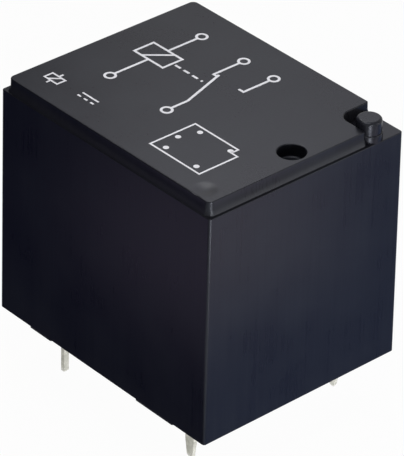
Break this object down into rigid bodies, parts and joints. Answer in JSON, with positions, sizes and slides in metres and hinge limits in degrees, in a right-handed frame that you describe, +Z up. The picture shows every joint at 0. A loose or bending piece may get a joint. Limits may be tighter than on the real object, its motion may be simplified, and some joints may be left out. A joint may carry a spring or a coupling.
{
  "type": "pcb power relay",
  "caption": "Sealed cube-shaped changeover relay for a circuit board: black moulded case with raised top plate, vent nib and solder pins, and a hinged armature that switches the contacts inside.",
  "frame": {"origin": "on the plane of the pin tips, below the middle of the case", "axes": "+Z up out of the circuit board, +X along the case towards the contact pins, +Y across the case"},
  "size_m": [0.0196, 0.016, 0.0212],
  "materials": {
    "case_plastic": "fine satin moulded black",
    "header_plastic": "matt moulded black",
    "resin": "cast epoxy, softly glossy",
    "tinned_pin": "tin plated",
    "former_plastic": "natural moulded",
    "copper_wire": "enamelled copper wire",
    "magnet_iron": "nickel plated",
    "spring_bronze": "rolled bronze",
    "contact_silver": "silver alloy"
  },
  "bodies": {
    "relay": {"cover": "case_plastic", "base": "header_plastic", "sealing_resin": "resin", "coil_terminal_a": "tinned_pin", "coil_terminal_b": "tinned_pin", "common_terminal": "tinned_pin", "no_terminal": "tinned_pin", "nc_terminal": "tinned_pin", "bobbin": "former_plastic", "coil_winding": "copper_wire", "coil_lead_a": "copper_wire", "coil_lead_b": "copper_wire", "core": "magnet_iron", "yoke": "magnet_iron", "yoke_rivets": "magnet_iron", "no_contact": "contact_silver", "nc_contact": "contact_silver"},
    "armature": {"armature": "magnet_iron", "contact_spring": "spring_bronze", "armature_rivets": "magnet_iron", "moving_contact": "contact_silver"}
  },
  "joints": [
    {"name": "armature_pivot", "type": "hinge", "parent": "relay", "child": "armature", "pos_m": [-0.00724, 0, 0.0151], "axis": [0, 1, 0], "range_deg": [0, 2.6], "stiffness_Nm_per_rad": 0.03, "springref_deg": -2.86, "deforming": ["contact_spring"]}
  ]
}
